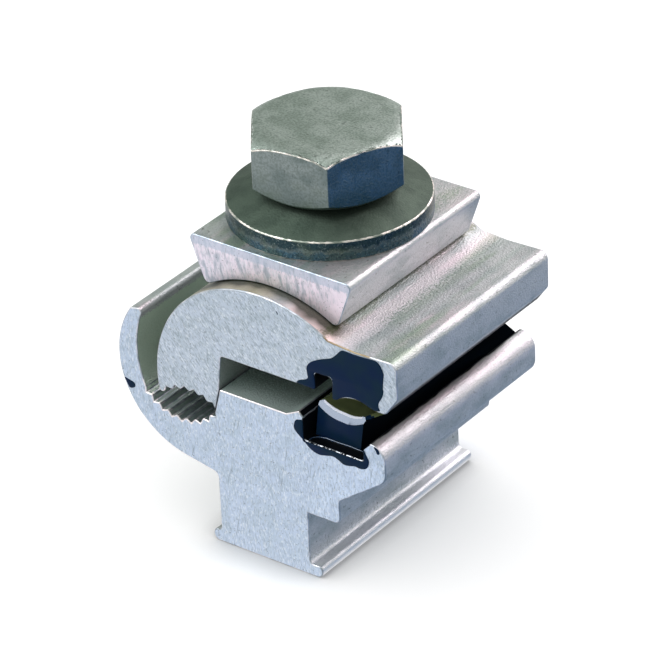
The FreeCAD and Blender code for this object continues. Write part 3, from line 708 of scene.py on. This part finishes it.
BEAD_FOOT = [
    (5.25, -11.3, 13.96), (5.3, -10.9, 13.97), (5.6, -10.5, 13.98), (6.4, -10.28, 13.99), (7.6, -10.3, 13.98),
    (8.8, -10.26, 13.99), (10.0, -10.3, 13.98), (10.85, -10.32, 13.97),
]
NICK = [(2.46, 26.1), (2.56, 26.08), (2.7, 25.85), (2.6, 25.8)]
bolt_thread()
grease_bead()
grease_string("bead_foot", "lower", BEAD_FOOT, 0.09)
smear("hook_mark", "lower", HOOK_MARK, 0.05, 0.08)
smear("lip_drip", "lower", LIP_DRIP, 0.08, 0.08)
smear("crown_nick", "jaw", NICK, 0.02, 0.03)
smear("upper_smear", "jaw", UPPER_SMEAR, 0.1, 0.12)
smear("lower_smear", "lower", LOWER_SMEAR, 0.1, 0.12)


def lit_floor():
    """A pale floor: white in reflections, and to the camera white with a soft shadow, darkest at the foot."""
    contact_reach, contact_floor = 4 * MM, 0.4
    touching, open_paper, open_glow = 0.5, 0.81, 0.25
    half = 1.5
    material = bpy.data.materials.new("floor_paper")
    material.use_nodes = True
    tree = material.node_tree
    tree.nodes.clear()
    near = add_node(tree, "ShaderNodeAmbientOcclusion", {"Distance": contact_reach}, samples=16).outputs["AO"]
    pale = add_node(tree, "ShaderNodeMapRange", {
        "Value": near, "From Min": contact_floor, "To Min": touching, "To Max": open_paper,
    })
    lift = add_node(tree, "ShaderNodeMapRange", {
        "Value": near, "From Min": contact_floor, "To Min": 0.0, "To Max": open_glow,
    })
    paper = add_node(tree, "ShaderNodeBsdfDiffuse", {"Color": pale.outputs[0]})
    glow = add_node(tree, "ShaderNodeEmission", {"Strength": lift.outputs[0]})
    white = add_node(tree, "ShaderNodeEmission", {"Strength": 1.0})
    shaded = add_node(tree, "ShaderNodeAddShader", {0: paper.outputs[0], 1: glow.outputs[0]})
    path = add_node(tree, "ShaderNodeLightPath")
    mirrored = add_node(tree, "ShaderNodeMath", {
        0: path.outputs["Is Glossy Ray"], 1: path.outputs["Is Transmission Ray"],
    }, operation="MAXIMUM")
    to_camera = add_node(tree, "ShaderNodeMixShader", {
        0: path.outputs["Is Camera Ray"], 1: paper.outputs[0], 2: shaded.outputs[0],
    })
    mix = add_node(tree, "ShaderNodeMixShader", {
        0: mirrored.outputs[0], 1: to_camera.outputs[0], 2: white.outputs[0],
    })
    add_node(tree, "ShaderNodeOutputMaterial", {"Surface": mix.outputs[0]})
    floor = new_piece("floor", [(-half, -half, 0), (half, -half, 0), (half, half, 0), (-half, half, 0)],
                      [(0, 1, 2, 3)], [material])


def floor_card(name, colour, strength, corners):
    """A card that lies to the right of the clamp and shows only in reflections. Corners in millimetres."""
    material = bpy.data.materials.new(name + "_paper")
    material.use_nodes = True
    tree = material.node_tree
    tree.nodes.clear()
    glow = add_node(tree, "ShaderNodeEmission", {"Color": linear(colour), "Strength": strength})
    add_node(tree, "ShaderNodeOutputMaterial", {"Surface": glow.outputs[0]})
    over_floor = 0.3 * MM
    card = new_piece(name, [(x * MM, y * MM, over_floor) for x, y in corners], [(0, 1, 2, 3)], [material])
    card.visible_camera = False
    card.visible_diffuse = False
    card.visible_shadow = False


def area_light(name, turn, rise, distance, size, power, colour):
    """A soft square lamp that faces the clamp's middle and lights no rough surface.

    Its turn and rise are measured as the camera's are.
    """
    lamp = bpy.data.lights.new(name, "AREA")
    lamp.size = size
    lamp.energy = power
    lamp.color = linear(colour)[:3]
    thing = bpy.data.objects.new(name, lamp)
    away = Vector((math.sin(turn) * math.cos(rise), -math.cos(turn) * math.cos(rise), math.sin(rise)))
    thing.location = Vector((0, 0, 20 * MM)) + away * distance
    thing.rotation_euler = away.to_track_quat("Z", "Y").to_euler()
    thing.visible_diffuse = False
    bpy.context.scene.collection.objects.link(thing)


def set_world():
    """White light on rough surfaces, and a dimmer, greener one in reflections."""
    world = bpy.data.worlds.new("studio")
    world.use_nodes = True
    bpy.context.scene.world = world
    tree = world.node_tree
    tree.nodes.clear()
    path = add_node(tree, "ShaderNodeLightPath")
    seen = add_node(tree, "ShaderNodeBackground", {"Color": linear("#E2E9E0"), "Strength": 0.7})
    fill = add_node(tree, "ShaderNodeBackground", {"Color": linear("#F6F6F6"), "Strength": 1.35})
    light = add_node(tree, "ShaderNodeMixShader", {
        0: path.outputs["Is Diffuse Ray"], 1: seen.outputs[0], 2: fill.outputs[0],
    })
    add_node(tree, "ShaderNodeOutputWorld", {"Surface": light.outputs[0]})


def set_camera():
    """The camera at the photograph's angle, from the values at the top."""
    away = Vector((math.sin(CAMERA_TURN) * math.cos(CAMERA_RISE),
                   -math.cos(CAMERA_TURN) * math.cos(CAMERA_RISE), math.sin(CAMERA_RISE)))
    level = Vector((math.cos(CAMERA_TURN), math.sin(CAMERA_TURN), 0))
    upright = away.cross(level)
    right = math.cos(CAMERA_ROLL) * level + math.sin(CAMERA_ROLL) * upright
    up = math.cos(CAMERA_ROLL) * upright - math.sin(CAMERA_ROLL) * level
    aim = Vector((0, 0, PLATE_TOP)) + right * AIM_ACROSS + up * AIM_UP
    camera = bpy.data.objects.new("camera", bpy.data.cameras.new("camera"))
    camera.data.lens = CAMERA_LENS
    camera.data.sensor_width = 36
    camera.data.clip_start = 0.01
    camera.data.clip_end = 10
    turn = Matrix((right, up, away)).transposed().to_4x4()
    camera.matrix_world = Matrix.Translation(aim + away * CAMERA_DISTANCE) @ turn
    bpy.context.scene.collection.objects.link(camera)
    bpy.context.scene.camera = camera


lit_floor()
floor_card("blue_card", "#2F6CA6", 1.15, [(46, -95), (150, -95), (150, 70), (46, 70)])
floor_card("grey_card", "#8FA2BA", 1.1, [(6.6, -35), (45.5, -35), (45.5, 70), (6.6, 70)])
set_world()
area_light("key", math.radians(-40), math.radians(48), 0.4, 0.28, 1.5, "#FFFFFF")
area_light("back", math.radians(160), math.radians(41), 0.4, 0.34, 1.5, "#FFEFF5")
set_camera()
bpy.context.scene.view_settings.view_transform = "Standard"
